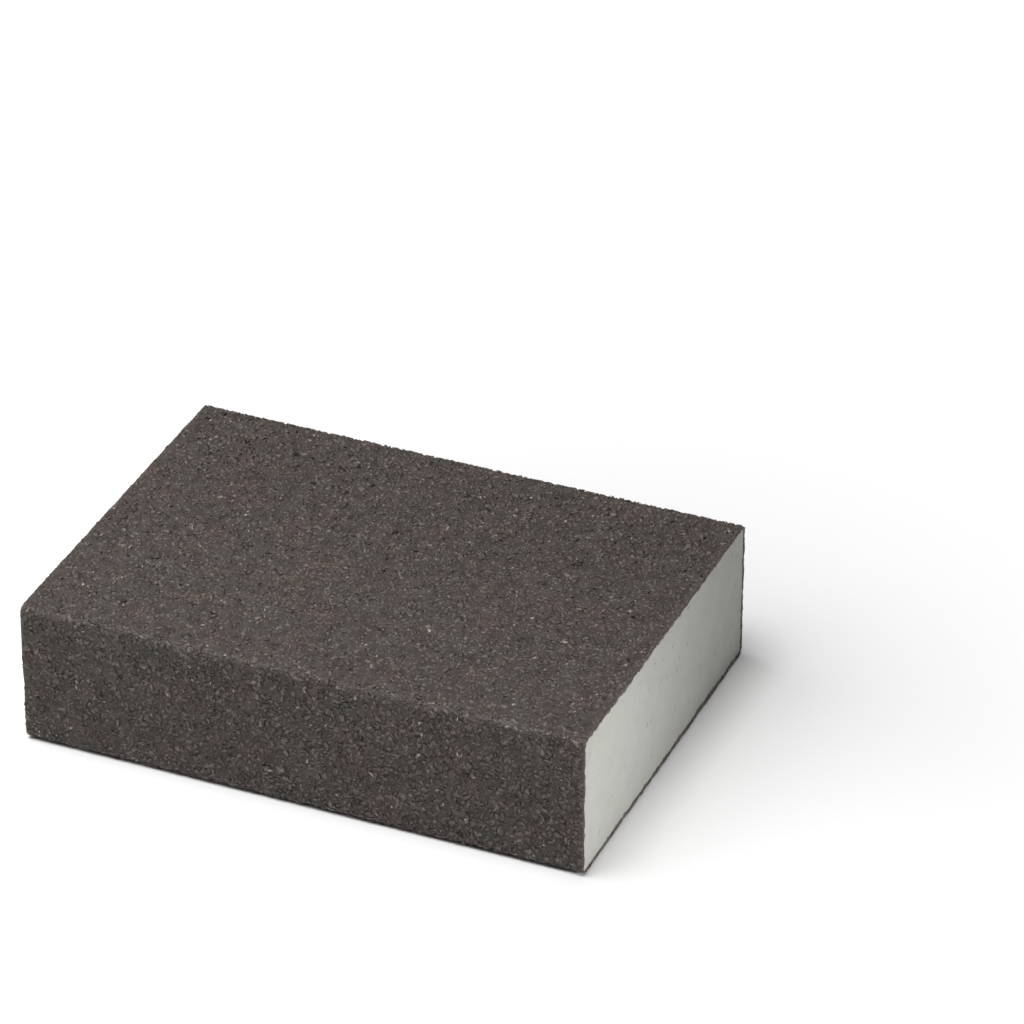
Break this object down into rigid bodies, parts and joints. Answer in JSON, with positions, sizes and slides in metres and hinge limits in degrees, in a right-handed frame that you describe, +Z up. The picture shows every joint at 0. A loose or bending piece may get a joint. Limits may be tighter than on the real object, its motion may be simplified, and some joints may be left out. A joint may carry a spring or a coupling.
{
  "type": "sanding block",
  "caption": "Rectangular foam sanding block with coarse abrasive coated on its two broad faces and both long sides, and bare foam at the two cut ends.",
  "frame": {"origin": "middle of the bottom coated face", "axes": "+X along the length to one bare foam end, +Y along the width to the back long side, +Z up through the thickness to the top coated face"},
  "size_m": [0.098, 0.07, 0.0258],
  "materials": {
    "foam": "bare cut face of fine-celled, firm polyurethane foam, matt, pale warm grey",
    "make_resin": "red-brown phenolic resin, seen as a thin line along the cut edges",
    "abrasive_grain": "coarse angular aluminium oxide grain, brown-grey with bright facets",
    "size_resin": "dark brown-grey resin film between and over the grains, slightly satin"
  },
  "bodies": {
    "root": {"foam_core": "foam", "top_make_coat": "make_resin", "top_grain": "abrasive_grain", "top_size_coat": "size_resin", "bottom_make_coat": "make_resin", "bottom_grain": "abrasive_grain", "bottom_size_coat": "size_resin", "front_make_coat": "make_resin", "front_grain": "abrasive_grain", "front_size_coat": "size_resin", "back_make_coat": "make_resin", "back_grain": "abrasive_grain", "back_size_coat": "size_resin"}
  },
  "joints": []
}
